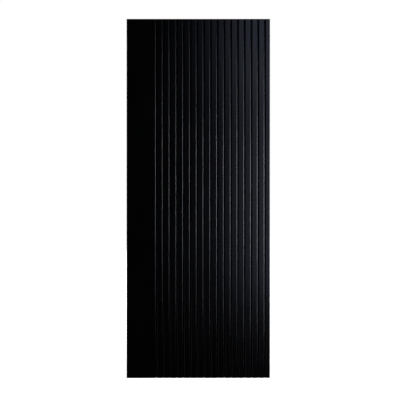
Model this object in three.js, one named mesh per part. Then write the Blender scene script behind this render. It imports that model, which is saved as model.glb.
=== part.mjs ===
// Kick plate for the foot of a door: one black rigid-PVC plate with lengthwise V-grooves, bonded to the door
// by strips of acrylic foam tape on its flat back.
//
// Millimetres, +Z up. Z runs along the plate's length, X across it and Y through it, with the face to -Y.
// The origin is the middle of the bonding plane, where the tape meets the door.
import * as THREE from "three";

// Plate
const PLATE_LENGTH = 770;
const PLATE_WIDTH = 300;
const PLATE_THICKNESS = 6;
const EDGE_RADIUS = 1.2; // along the two long edges, on the face side
const BACK_EDGE_RADIUS = 0.4;
const END_CHAMFER = 0.3; // eases the outline of both saw-cut ends

// Grooves, all on the +X side of a plain strip
const GROOVE_COUNT = 17;
const GROOVE_PITCH = 14.2;
const GROOVE_WIDTH = 3.4; // between the sharp lips, before they are rounded
const GROOVE_HALF_ANGLE = THREE.MathUtils.degToRad(21);
const LIP_RADIUS = 1.2;
const ROOT_RADIUS = 0.3;
const LAST_GROOVE_INSET = 10.6; // from the last groove's middle to the +X edge

// Foam tape: a closed border and three strips inside it
const TAPE_WIDTH = 19;
const TAPE_THICKNESS = 1.1;
const TAPE_INSET = 5; // from the plate's outline to the border
const TAPE_JOINT_GAP = 1.5; // where one strip stops short of the next

const BACK_Y = -TAPE_THICKNESS;
const FACE_Y = BACK_Y - PLATE_THICKNESS;
const HALF_WIDTH = PLATE_WIDTH / 2;
const ARC_STEPS = 2;

const QUARTER_TURN = Math.PI / 2;

const plateMaterial = new THREE.MeshStandardMaterial({ color: 0x0b0c0e, roughness: 0.32, metalness: 0 });
const tapeMaterial = new THREE.MeshStandardMaterial({ color: 0x3b3d3f, roughness: 0.75, metalness: 0 });

// Adds one groove, its middle at x, to an outline that is running along the face towards +X.
function addGroove(outline, x) {
  const sharpDepth = GROOVE_WIDTH / 2 / Math.tan(GROOVE_HALF_ANGLE);
  const lipTurn = QUARTER_TURN - GROOVE_HALF_ANGLE;
  const lipOffset = GROOVE_WIDTH / 2 + LIP_RADIUS * Math.tan(lipTurn / 2);
  const lipY = FACE_Y + LIP_RADIUS;
  const rootY = FACE_Y + sharpDepth - ROOT_RADIUS / Math.sin(GROOVE_HALF_ANGLE);
  const rootStart = Math.PI - GROOVE_HALF_ANGLE;

  outline.absarc(x - lipOffset, lipY, LIP_RADIUS, -QUARTER_TURN, -GROOVE_HALF_ANGLE, false);
  outline.absarc(x, rootY, ROOT_RADIUS, rootStart, GROOVE_HALF_ANGLE, true);
  outline.absarc(x + lipOffset, lipY, LIP_RADIUS, Math.PI + GROOVE_HALF_ANGLE, Math.PI + QUARTER_TURN, false);
}

// The plate's section across its length, taken round from the face's -X corner.
function plateSection() {
  const outline = new THREE.Shape();
  outline.moveTo(-HALF_WIDTH, FACE_Y + EDGE_RADIUS);
  outline.absarc(-HALF_WIDTH + EDGE_RADIUS, FACE_Y + EDGE_RADIUS, EDGE_RADIUS, Math.PI, 1.5 * Math.PI, false);

  const lastGroove = HALF_WIDTH - LAST_GROOVE_INSET;
  for (let i = GROOVE_COUNT - 1; i >= 0; i--) {
    addGroove(outline, lastGroove - i * GROOVE_PITCH);
  }

  outline.absarc(HALF_WIDTH - EDGE_RADIUS, FACE_Y + EDGE_RADIUS, EDGE_RADIUS, -QUARTER_TURN, 0, false);
  const backX = HALF_WIDTH - BACK_EDGE_RADIUS;
  const backY = BACK_Y - BACK_EDGE_RADIUS;
  outline.absarc(backX, backY, BACK_EDGE_RADIUS, 0, QUARTER_TURN, false);
  outline.absarc(-backX, backY, BACK_EDGE_RADIUS, QUARTER_TURN, Math.PI, false);
  outline.closePath();
  return outline;
}

function facePlate() {
  const geometry = new THREE.ExtrudeGeometry(plateSection(), {
    depth: PLATE_LENGTH - 2 * END_CHAMFER,
    curveSegments: ARC_STEPS,
    bevelEnabled: true,
    bevelSegments: 1,
    bevelThickness: END_CHAMFER,
    bevelSize: END_CHAMFER,
    bevelOffset: -END_CHAMFER,
  });
  const plate = new THREE.Mesh(geometry, plateMaterial);
  plate.name = "face_plate";
  plate.position.z = -PLATE_LENGTH / 2 + END_CHAMFER;
  return plate;
}

// One strip of tape on the plate's back, centred on (x, z).
function tapeStrip(name, x, z, width, length) {
  const strip = new THREE.Mesh(new THREE.BoxGeometry(width, TAPE_THICKNESS, length), tapeMaterial);
  strip.name = name;
  strip.position.set(x, -TAPE_THICKNESS / 2, z);
  return strip;
}

function foamTape() {
  const tape = new THREE.Group();
  const borderX = HALF_WIDTH - TAPE_INSET - TAPE_WIDTH / 2;
  const borderZ = PLATE_LENGTH / 2 - TAPE_INSET - TAPE_WIDTH / 2;
  const sideLength = PLATE_LENGTH - 2 * TAPE_INSET;
  const endLength = 2 * (borderX - TAPE_WIDTH / 2 - TAPE_JOINT_GAP);
  const innerLength = 2 * (borderZ - TAPE_WIDTH / 2 - TAPE_JOINT_GAP);

  tape.add(tapeStrip("tape_left_edge", -borderX, 0, TAPE_WIDTH, sideLength));
  tape.add(tapeStrip("tape_right_edge", borderX, 0, TAPE_WIDTH, sideLength));
  tape.add(tapeStrip("tape_top_end", 0, borderZ, endLength, TAPE_WIDTH));
  tape.add(tapeStrip("tape_bottom_end", 0, -borderZ, endLength, TAPE_WIDTH));

  const innerNames = ["tape_inner_left", "tape_centre", "tape_inner_right"];
  innerNames.forEach((name, i) => {
    tape.add(tapeStrip(name, ((i - 1) * borderX) / 2, 0, TAPE_WIDTH, innerLength));
  });
  return tape;
}

const kickPlate = new THREE.Group();
kickPlate.add(facePlate(), foamTape());

export default kickPlate;
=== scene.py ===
"""Looks of the kick plate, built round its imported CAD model: a black satin plate with V-grooves, and foam
tape on its back.

Metres, +Z up. Z runs along the plate, X across it and Y through it, with the face to -Y and the door at
y = 0.
"""
import math

import bpy
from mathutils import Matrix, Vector, noise


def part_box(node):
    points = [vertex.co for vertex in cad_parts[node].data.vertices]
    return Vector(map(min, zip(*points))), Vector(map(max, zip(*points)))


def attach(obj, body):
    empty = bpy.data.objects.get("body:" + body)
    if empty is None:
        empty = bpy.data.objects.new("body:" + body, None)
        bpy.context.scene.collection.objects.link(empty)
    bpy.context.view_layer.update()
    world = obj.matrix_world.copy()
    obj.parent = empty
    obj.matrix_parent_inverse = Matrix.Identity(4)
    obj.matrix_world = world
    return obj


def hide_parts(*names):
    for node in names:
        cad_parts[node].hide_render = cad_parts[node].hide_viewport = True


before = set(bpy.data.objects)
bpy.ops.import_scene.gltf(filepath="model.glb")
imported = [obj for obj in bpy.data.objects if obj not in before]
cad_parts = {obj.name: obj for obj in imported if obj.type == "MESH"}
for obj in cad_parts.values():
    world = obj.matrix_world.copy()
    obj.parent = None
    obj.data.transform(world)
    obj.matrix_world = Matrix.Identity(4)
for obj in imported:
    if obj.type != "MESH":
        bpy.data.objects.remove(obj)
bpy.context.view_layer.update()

MM = 0.001
MICRON = 1e-6
QUARTER_TURN = math.pi / 2

# The plate's section, as the CAD model has it
GROOVE_COUNT = 17
GROOVE_PITCH = 14.2 * MM
GROOVE_WIDTH = 3.4 * MM
GROOVE_HALF_ANGLE = math.radians(21)
LIP_RADIUS = 1.2 * MM
ROOT_RADIUS = 0.3 * MM
LAST_GROOVE_INSET = 10.6 * MM
EDGE_RADIUS = 1.2 * MM
BACK_EDGE_RADIUS = 0.4 * MM
END_RADIUS = 0.3 * MM
ARC_STEPS = 10
END_STEPS = 4
END_WEAR_REACH = 2.5 * MM  # how far wear spreads from an end over the faces
END_WEAR = 0.4  # on either side of an end's rounded edge, where 0 is none and 1 is rubbed most
LIP_WEAR = 0.5
RUBBED_ROUGHNESS = 0.06  # added where the face is rubbed
SCUFF_ROUGHNESS = 0.08  # added where the back is scuffed

# The foam tape
TAPE_CORNER = 0.2 * MM
TAPE_CORNER_STEPS = 4
TAPE_SIDE_STEPS = 4
TAPE_FACE_STEPS = 8
TAPE_SIDE_DIP = 0.22 * MM  # the cut sides are slightly hollow
TAPE_RING_STEP = 4 * MM
TAPE_EDGE_WANDER = 0.3 * MM  # the knife wandered this much, always inwards
TAPE_EDGE_WANDER_LENGTH = 45 * MM
TAPE_FACE_RIPPLE = 0.06 * MM
TAPE_FACE_RIPPLE_LENGTH = 14 * MM

# The camera looks along +Y and down, without perspective
CAMERA_ELEVATION = math.radians(13.1)
CAMERA_DISTANCE = 3.0
VIEW_SIZE = 0.8366  # across the square picture
VIEW_RIGHT_OF_PLATE = 3.6 * MM  # from the plate's middle to the view's
VIEW_BELOW_PLATE = 3.1 * MM

# The floor
FLOOR_REACH = 12.0  # from its middle to each side
FLOOR_ROUGHNESS = 0.9

# Material slots other than the first, which is the plate's satin face or the tape's adhesive
BACK_SLOT = 1
END_SLOT = 2
CUT_SIDE_SLOT = 1
FACING = 0.9  # the share of a polygon's normal along an axis that counts as facing that way

# Colours, linear
SATIN_BLACK = (0.0012, 0.0012, 0.0014)
HAZY_BLACK = (0.0019, 0.0019, 0.0022)
WORN_BLACK = (0.006, 0.006, 0.0066)
BACK_BLACK = (0.006, 0.006, 0.0065)
SCUFFED_BLACK = (0.013, 0.013, 0.0135)
SAWN_BLACK = (0.006, 0.006, 0.0065)
SAWN_GREY = (0.018, 0.018, 0.0185)
FOAM_GREY = (0.075, 0.077, 0.08)
# Painted shade for the hollows of the foam's cells, and also the colour of the real dark specks on the
# adhesive
HOLLOW_SHADE_AND_SPECK_GREY = (0.016, 0.016, 0.017)
ADHESIVE_GREY = (0.052, 0.054, 0.057)
ADHESIVE_PALE = (0.063, 0.065, 0.068)
FLOOR_PAINT = (0.8, 0.8, 0.8)
WHITE = (1, 1, 1)
FAINT_BLUE = (0.88, 0.91, 1.0)
COOL_WHITE = (0.64, 0.72, 1.0)


# ---- Shapes ----

def arc(centre, radius, start, end, outward=1, wear=1.0):
    """(point, outward normal, wear) along an arc. outward is -1 where the arc is hollow."""
    points = []
    for i in range(ARC_STEPS + 1):
        angle = start + (end - start) * i / ARC_STEPS
        ray = Vector((math.cos(angle), math.sin(angle)))
        worn = wear * math.sin(math.pi * i / ARC_STEPS)
        points.append((Vector(centre) + radius * ray, outward * ray, worn))
    return points


def groove(x, face):
    """One V-groove, its middle at x, along an outline that runs towards +X."""
    sharp_depth = GROOVE_WIDTH / 2 / math.tan(GROOVE_HALF_ANGLE)
    lip_turn = QUARTER_TURN - GROOVE_HALF_ANGLE
    lip_offset = GROOVE_WIDTH / 2 + LIP_RADIUS * math.tan(lip_turn / 2)
    lip_y = face + LIP_RADIUS
    root_y = face + sharp_depth - ROOT_RADIUS / math.sin(GROOVE_HALF_ANGLE)
    wall = GROOVE_HALF_ANGLE
    points = arc((x - lip_offset, lip_y), LIP_RADIUS, -QUARTER_TURN, -wall, wear=LIP_WEAR)
    points += arc((x, root_y), ROOT_RADIUS, math.pi - wall, wall, outward=-1, wear=0)
    far_lip = (x + lip_offset, lip_y)
    points += arc(far_lip, LIP_RADIUS, math.pi + wall, math.pi + QUARTER_TURN, wear=LIP_WEAR)
    return points


def plate_section(low, high):
    """The plate's outline across its length."""
    face, back = low.y, high.y
    corner = low.x + EDGE_RADIUS
    points = arc((corner, face + EDGE_RADIUS), EDGE_RADIUS, math.pi, math.pi + QUARTER_TURN)
    for i in range(GROOVE_COUNT):
        from_last = (GROOVE_COUNT - 1 - i) * GROOVE_PITCH
        points += groove(high.x - LAST_GROOVE_INSET - from_last, face)
    corner = high.x - EDGE_RADIUS
    points += arc((corner, face + EDGE_RADIUS), EDGE_RADIUS, -QUARTER_TURN, 0)
    corner = high.x - BACK_EDGE_RADIUS
    points += arc((corner, back - BACK_EDGE_RADIUS), BACK_EDGE_RADIUS, 0, QUARTER_TURN)
    corner = low.x + BACK_EDGE_RADIUS
    points += arc((corner, back - BACK_EDGE_RADIUS), BACK_EDGE_RADIUS, QUARTER_TURN, math.pi)
    return points


def end_rings(start, end, radius):
    """(position, inset, tilt, wear) of each ring near the two ends, which are eased by a small radius."""
    rings = []
    for i in range(END_STEPS + 1):
        tilt = QUARTER_TURN * (1 - i / END_STEPS)
        inset = radius * (1 - math.cos(tilt))
        wear = END_WEAR + (1 - END_WEAR) * math.sin(2 * tilt)
        rings.append((start + radius * (1 - math.sin(tilt)), inset, -tilt, wear))
    rings.append((start + radius + END_WEAR_REACH, 0, 0, 0))
    far_rings = []
    for position, inset, tilt, wear in reversed(rings):
        far_rings.append((start + end - position, inset, -tilt, wear))
    return rings + far_rings


def make_object(name, vertices, faces, normals=None):
    mesh = bpy.data.meshes.new(name)
    mesh.from_pydata(vertices, [], faces)
    mesh.validate()
    for polygon in mesh.polygons:
        polygon.use_smooth = True
    if normals:
        mesh.normals_split_custom_set_from_vertices(normals)
    obj = bpy.data.objects.new(name, mesh)
    bpy.context.scene.collection.objects.link(obj)
    return obj


def closed_tube(ring_count, ring_size):
    """Quads between neighbouring rings, and one face over each end."""
    faces = []
    for r in range(ring_count - 1):
        for i in range(ring_size):
            j = (i + 1) % ring_size
            a, b = r * ring_size, (r + 1) * ring_size
            faces.append((a + i, a + j, b + j, b + i))
    last = (ring_count - 1) * ring_size
    faces.append(tuple(reversed(range(ring_size))))
    faces.append(tuple(range(last, last + ring_size)))
    return faces


def make_plate():
    low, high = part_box("face_plate")
    section = plate_section(low, high)
    rings = end_rings(low.z, high.z, END_RADIUS)
    vertices = []
    normals = []
    wear = []
    for z, inset, tilt, ring_wear in rings:
        flat = math.cos(tilt)
        for point, normal, point_wear in section:
            p = point - inset * normal
            vertices.append((p.x, p.y, z))
            normals.append((normal.x * flat, normal.y * flat, math.sin(tilt)))
            wear.append(max(point_wear, ring_wear))
    plate = make_object("grooved_plate", vertices, closed_tube(len(rings), len(section)), normals)
    layer = plate.data.attributes.new("wear", "FLOAT", "POINT")
    layer.data.foreach_set("value", wear)
    for material in (satin_plate(), plain_back(), sawn_end()):
        plate.data.materials.append(material)
    for polygon in plate.data.polygons:
        if abs(polygon.normal.z) > FACING:
            polygon.material_index = END_SLOT
        elif polygon.normal.y > FACING:
            polygon.material_index = BACK_SLOT
    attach(plate, "root")
    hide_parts("face_plate")


def tape_section(width, thickness):
    """Outline of a strip: u across it, v from the plate's back towards the door."""
    half = width / 2
    points = []
    for side in (1, -1):
        # along one broad face, round a corner, up the hollow side and round the next corner
        v_start = 0 if side == 1 else thickness
        for i in range(TAPE_FACE_STEPS):
            u = side * (half - TAPE_CORNER) * (2 * i / TAPE_FACE_STEPS - 1)
            points.append((u, v_start))
        for i in range(TAPE_CORNER_STEPS + 1):
            angle = QUARTER_TURN * i / TAPE_CORNER_STEPS
            u = half - TAPE_CORNER * (1 - math.sin(angle))
            v = TAPE_CORNER * (1 - math.cos(angle))
            points.append((side * u, v_start + side * v))
        for i in range(1, TAPE_SIDE_STEPS):
            t = i / TAPE_SIDE_STEPS
            v = TAPE_CORNER + t * (thickness - 2 * TAPE_CORNER)
            u = half - TAPE_SIDE_DIP * math.sin(math.pi * t)
            points.append((side * u, v_start + side * v))
        for i in range(TAPE_CORNER_STEPS):
            angle = QUARTER_TURN * i / TAPE_CORNER_STEPS
            u = half - TAPE_CORNER * (1 - math.cos(angle))
            v = thickness - TAPE_CORNER * (1 - math.sin(angle))
            points.append((side * u, v_start + side * v))
    return points


def wander(place, length, most, seed):
    """A smooth random distance from 0 to most that changes over about this length."""
    value = noise.noise(Vector((place[0] / length, place[1] / length, seed)))
    return most * min(max(0.5 + value, 0), 1)


def make_tape(node, seed, adhesive, foam):
    """A strip of foam tape: knife-cut sides that wander a little, and a gently rippled bonding face."""
    low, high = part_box(node)
    upright = high.z - low.z > high.x - low.x
    middle = (low + high) / 2
    if upright:
        start, end, width, across = low.z, high.z, high.x - low.x, middle.x
    else:
        start, end, width, across = low.x, high.x, high.z - low.z, middle.z
    thickness = high.y - low.y

    rings = end_rings(start, end, TAPE_CORNER)
    near_end, far_end = rings[:len(rings) // 2], rings[len(rings) // 2:]
    count = round((end - start) / TAPE_RING_STEP)
    between = [(start + (end - start) * i / count, 0, 0, 0) for i in range(2, count - 1)]
    rings = near_end + between + far_end

    section = tape_section(width, thickness)
    vertices = []
    for position, inset, tilt, _ in rings:
        for u, v in section:
            side = u / (width / 2)
            side_seed = seed + 0.5 if u > 0 else seed
            cut = wander((position, 0), TAPE_EDGE_WANDER_LENGTH, TAPE_EDGE_WANDER, side_seed)
            ripple = wander((position, u), TAPE_FACE_RIPPLE_LENGTH, TAPE_FACE_RIPPLE, seed)
            sideways = across + u - (cut + inset) * side
            y = low.y + v - ripple * v / thickness - inset * (2 * v / thickness - 1)
            vertices.append((sideways, y, position) if upright else (position, y, sideways))
    faces = closed_tube(len(rings), len(section))
    if not upright:
        # turns the faces outwards
        faces = [tuple(reversed(face)) for face in faces]
    tape = make_object("foam_" + node, vertices, faces)
    tape.data.materials.append(adhesive)
    tape.data.materials.append(foam)
    for polygon in tape.data.polygons:
        if abs(polygon.normal.y) < FACING:
            polygon.material_index = CUT_SIDE_SLOT
    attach(tape, "root")
    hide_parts(node)


# ---- Materials ----

class Surface:
    """A node material in the making. Its patterns are laid out in the object's own coordinates."""

    def __init__(self, name):
        self.material = bpy.data.materials.new(name)
        self.material.use_nodes = True
        self.tree = self.material.node_tree
        self.shader = self.tree.nodes["Principled BSDF"]
        self.place = self.add("ShaderNodeTexCoord", {}).outputs["Object"]

    def add(self, kind, inputs, **settings):
        """Adds a node. An input given as another node's output is linked, and anything else is set."""
        node = self.tree.nodes.new(kind)
        for name, value in settings.items():
            setattr(node, name, value)
        for name, value in inputs.items():
            self.feed(node.inputs[name], value)
        return node

    def feed(self, socket, value):
        if isinstance(value, bpy.types.NodeSocket):
            self.tree.links.new(value, socket)
        else:
            socket.default_value = value

    def scaled(self, size, turn=0.0):
        """Coordinates in which one feature is size long along X, Y and Z, turned about Y."""
        scale = [1 / length for length in size]
        inputs = {"Vector": self.place, "Scale": scale, "Rotation": (0, turn, 0)}
        return self.add("ShaderNodeMapping", inputs).outputs["Vector"]

    def clouds(self, size, detail=2.0, turn=0.0):
        """A soft random pattern around 0.5."""
        inputs = {"Vector": self.scaled(size, turn), "Scale": 1.0, "Detail": detail}
        return self.add("ShaderNodeTexNoise", inputs).outputs["Fac"]

    def cells(self, size):
        """Distance to the middle of the nearest cell, from 0 to about 1."""
        inputs = {"Vector": self.scaled((size, size, size)), "Scale": 1.0}
        return self.add("ShaderNodeTexVoronoi", inputs).outputs["Distance"]

    def attribute(self, name):
        return self.add("ShaderNodeAttribute", {}, attribute_name=name).outputs["Fac"]

    def spread(self, value, low, high, start=0.35, end=0.65):
        """low where a pattern is start or less, high where it is end or more."""
        ends = {"From Min": start, "From Max": end, "To Min": low, "To Max": high}
        return self.add("ShaderNodeMapRange", {"Value": value, **ends}).outputs["Result"]

    def combine(self, operation, first, second):
        node = self.add("ShaderNodeMath", {}, operation=operation)
        self.feed(node.inputs[0], first)
        self.feed(node.inputs[1], second)
        return node.outputs[0]

    def blend(self, factor, first, second):
        """The first colour where factor is 0, the second where it is 1."""
        inputs = {"Fac": factor, "Color1": first, "Color2": second}
        for name in ("Color1", "Color2"):
            if isinstance(inputs[name], tuple):
                inputs[name] = (*inputs[name], 1)
        return self.add("ShaderNodeMixRGB", inputs).outputs["Color"]

    def relief(self, height, depth, under=None):
        """Bumps of this depth, over any that are already there."""
        inputs = {"Height": height, "Distance": depth, "Strength": 1.0}
        if under:
            inputs["Normal"] = under
        return self.add("ShaderNodeBump", inputs).outputs["Normal"]

    def finish(self, color, roughness, normal):
        self.feed(self.shader.inputs["Base Color"], color)
        self.feed(self.shader.inputs["Roughness"], roughness)
        self.feed(self.shader.inputs["Normal"], normal)
        return self.material


def satin_plate():
    """Extruded black plastic: a satin skin, fine lines along its length and slightly rubbed edges."""
    s = Surface("black_satin")
    lines = s.clouds((0.7 * MM, 0.7 * MM, 500 * MM), detail=3)
    grain = s.clouds((0.3 * MM, 0.3 * MM, 0.3 * MM))
    haze = s.clouds((70 * MM, 70 * MM, 160 * MM), detail=4)
    patches = s.clouds((3 * MM, 3 * MM, 16 * MM), detail=3)
    rubbed = s.combine("MULTIPLY", s.attribute("wear"), s.spread(patches, 0, 1))

    color = s.blend(s.spread(haze, 0, 1), SATIN_BLACK, HAZY_BLACK)
    color = s.blend(rubbed, color, WORN_BLACK)
    hazy_roughness = s.spread(haze, low=0.228, high=0.252)
    roughness = s.combine("ADD", hazy_roughness, s.spread(lines, low=-0.008, high=0.008))
    roughness = s.combine("ADD", roughness, s.combine("MULTIPLY", rubbed, RUBBED_ROUGHNESS))
    normal = s.relief(lines, 1.5 * MICRON)
    normal = s.relief(grain, 2 * MICRON, under=normal)
    return s.finish(color, roughness, normal)


def plain_back():
    """The back: duller, with drag marks along its length and scuffs across them at two angles."""
    s = Surface("dull_back")
    drag = s.clouds((1.1 * MM, 1.1 * MM, 260 * MM), detail=4)
    grain = s.clouds((0.35 * MM, 0.35 * MM, 0.35 * MM))
    haze = s.clouds((45 * MM, 45 * MM, 80 * MM), detail=4)
    scuff = s.clouds((1.2 * MM, 1.2 * MM, 30 * MM), detail=2, turn=math.radians(28))
    cross_scuff = s.clouds((1.0 * MM, 1.0 * MM, 24 * MM), detail=2, turn=math.radians(-52))
    scuff = s.spread(scuff, 0, 1, start=0.66, end=0.74)
    cross_scuff = s.spread(cross_scuff, 0, 1, start=0.68, end=0.76)
    scuffs = s.combine("MAXIMUM", scuff, cross_scuff)

    color = s.blend(s.spread(drag, 0, 0.5), BACK_BLACK, SCUFFED_BLACK)
    color = s.blend(scuffs, color, SCUFFED_BLACK)
    hazy_roughness = s.spread(haze, low=0.36, high=0.46)
    roughness = s.combine("ADD", hazy_roughness, s.spread(drag, low=-0.03, high=0.03))
    roughness = s.combine("ADD", roughness, s.combine("MULTIPLY", scuffs, SCUFF_ROUGHNESS))
    normal = s.relief(drag, 6 * MICRON)
    normal = s.relief(grain, 4 * MICRON, under=normal)
    return s.finish(color, roughness, normal)


def sawn_end():
    """A saw cut across the plate: fine tooth marks through its thickness, some deeper than others."""
    s = Surface("sawn_end")
    teeth = s.clouds((0.25 * MM, 9 * MM, 9 * MM), detail=2)
    deep_marks = s.clouds((1.6 * MM, 12 * MM, 12 * MM), detail=1)
    grain = s.clouds((0.12 * MM, 0.12 * MM, 0.12 * MM))
    marks = s.combine("ADD", teeth, deep_marks)

    color = s.blend(s.spread(marks, 0, 1, start=0.85, end=1.2), SAWN_BLACK, SAWN_GREY)
    roughness = s.spread(teeth, low=0.45, high=0.62)
    normal = s.relief(marks, 18 * MICRON)
    normal = s.relief(grain, 5 * MICRON, under=normal)
    return s.finish(color, roughness, normal)


def tape_adhesive():
    """The tacky face under the peeled-off liner: satin and dimpled, with pale smears and dark specks."""
    s = Surface("tape_adhesive")
    smears = s.clouds((7 * MM, 7 * MM, 12 * MM), detail=4)
    dimples = s.cells(1.4 * MM)
    specks = s.cells(0.5 * MM)
    orange_peel = s.clouds((0.5 * MM, 0.5 * MM, 0.5 * MM))

    color = s.blend(s.spread(smears, 0, 1), ADHESIVE_GREY, ADHESIVE_PALE)
    color = s.blend(s.spread(specks, 0.7, 0, start=0.08, end=0.2), color, HOLLOW_SHADE_AND_SPECK_GREY)
    dimple_roughness = s.spread(dimples, low=0.05, high=0, start=0, end=0.3)
    roughness = s.combine("ADD", s.spread(smears, low=0.36, high=0.43), dimple_roughness)
    normal = s.relief(dimples, 45 * MICRON)
    normal = s.relief(orange_peel, 18 * MICRON, under=normal)
    return s.finish(color, roughness, normal)


def tape_foam():
    """A knife cut through acrylic foam: open cells, their insides darkened by painted shade."""
    s = Surface("tape_foam")
    small_cells = s.cells(0.22 * MM)
    large_cells = s.cells(0.6 * MM)
    small_walls = s.spread(small_cells, 0.3, 1, start=0.1, end=0.5)
    large_walls = s.spread(large_cells, 0, 1, start=0.1, end=0.4)
    walls = s.combine("MULTIPLY", small_walls, large_walls)

    # Painted shade: the colour darkens towards the hollow middle of each cell
    color = s.blend(walls, HOLLOW_SHADE_AND_SPECK_GREY, FOAM_GREY)
    roughness = s.spread(large_cells, low=0.95, high=0.8, start=0.1, end=0.5)
    normal = s.relief(walls, 60 * MICRON)
    return s.finish(color, roughness, normal)


# ---- Floor, light and camera ----

def look_at(obj, target):
    direction = Vector(target) - obj.location
    obj.rotation_euler = direction.to_track_quat("-Z", "Y").to_euler()


def make_softbox(name, location, target, size, radiance, color):
    """A rectangular studio light, hidden from the camera. radiance is what a mirror would show of it."""
    light = bpy.data.lights.new(name, "AREA")
    light.shape = "RECTANGLE"
    light.size, light.size_y = size
    light.energy = radiance * math.pi * size[0] * size[1]
    light.color = color
    obj = bpy.data.objects.new(name, light)
    obj.location = location
    bpy.context.scene.collection.objects.link(obj)
    look_at(obj, target)
    obj.visible_camera = False


def make_camera():
    low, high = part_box("face_plate")
    data = bpy.data.cameras.new("camera")
    data.type = "ORTHO"
    data.ortho_scale = VIEW_SIZE
    camera = bpy.data.objects.new("camera", data)
    up = Vector((0, math.sin(CAMERA_ELEVATION), math.cos(CAMERA_ELEVATION)))
    ahead = Vector((0, math.cos(CAMERA_ELEVATION), -math.sin(CAMERA_ELEVATION)))
    middle = (low + high) / 2
    target = middle + Vector((VIEW_RIGHT_OF_PLATE, 0, 0)) - VIEW_BELOW_PLATE * up
    camera.location = target - CAMERA_DISTANCE * ahead
    camera.rotation_euler = ahead.to_track_quat("-Z", "Y").to_euler()
    bpy.context.scene.collection.objects.link(camera)
    bpy.context.scene.camera = camera


def make_floor():
    """A floor that glows an even white, so no shadow shows on it. The plate's light and reflections leave
    it out."""
    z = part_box("face_plate")[0].z
    corners = [(-1, -1), (1, -1), (1, 1), (-1, 1)]
    vertices = [(FLOOR_REACH * x, FLOOR_REACH * y, z) for x, y in corners]
    floor = make_object("floor", vertices, [(0, 1, 2, 3)])
    material = bpy.data.materials.new("floor_white")
    material.use_nodes = True
    inputs = material.node_tree.nodes["Principled BSDF"].inputs
    inputs["Base Color"].default_value = (*FLOOR_PAINT, 1)
    inputs["Roughness"].default_value = FLOOR_ROUGHNESS
    inputs["Emission Color"].default_value = (*WHITE, 1)
    inputs["Emission Strength"].default_value = 1.0
    floor.data.materials.append(material)
    floor.visible_glossy = False
    floor.visible_diffuse = False
    floor.visible_shadow = False


def make_world():
    """White behind everything as the camera sees it, and black as reflections see it."""
    world = bpy.data.worlds.new("studio")
    world.use_nodes = True
    nodes, links = world.node_tree.nodes, world.node_tree.links
    background = nodes["Background"]
    background.inputs["Color"].default_value = (*WHITE, 1)
    path = nodes.new("ShaderNodeLightPath")
    links.new(path.outputs["Is Camera Ray"], background.inputs["Strength"])
    bpy.context.scene.world = world


make_camera()
make_floor()
make_world()
bpy.context.scene.view_settings.view_transform = "Standard"

make_plate()
adhesive = tape_adhesive()
foam = tape_foam()
tape_nodes = sorted(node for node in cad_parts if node.startswith("tape"))
for seed, node in enumerate(tape_nodes):
    make_tape(node, seed, adhesive, foam)

# Sheen on the flat strips, brightest at the upper right
make_softbox(
    "front_softbox", location=(0.168, -0.535, 0.045), target=(0.168, 0, 0.045),
    size=(0.165, 0.75), radiance=0.52, color=COOL_WHITE)
make_softbox(
    "upper_softbox", location=(0.215, -0.62, 0.33), target=(0.215, 0, 0.33),
    size=(0.31, 0.48), radiance=0.42, color=COOL_WHITE)

# The bright line in each groove, strongest at mid height
make_softbox(
    "side_softbox", location=(0.485, -0.17, -0.06), target=(0.485, 0, -0.06),
    size=(0.43, 0.56), radiance=6.5, color=FAINT_BLUE)
make_softbox(
    "side_core_softbox", location=(0.485, -0.19, -0.07), target=(0.485, 0, -0.07),
    size=(0.43, 0.27), radiance=10.5, color=FAINT_BLUE)

# Shape in other views, from the lower left and from behind
make_softbox(
    "low_softbox", location=(-0.95, -0.95, -0.75), target=(0, 0, -0.1),
    size=(0.8, 0.5), radiance=0.6, color=WHITE)
make_softbox(
    "rear_softbox", location=(1.0, 0.85, -0.25), target=(0, 0, 0),
    size=(0.5, 0.5), radiance=0.6, color=WHITE)
make_softbox(
    "rear_fill_softbox", location=(-0.6, 0.9, -0.1), target=(0, 0, -0.1),
    size=(1.0, 0.9), radiance=4.0, color=WHITE)
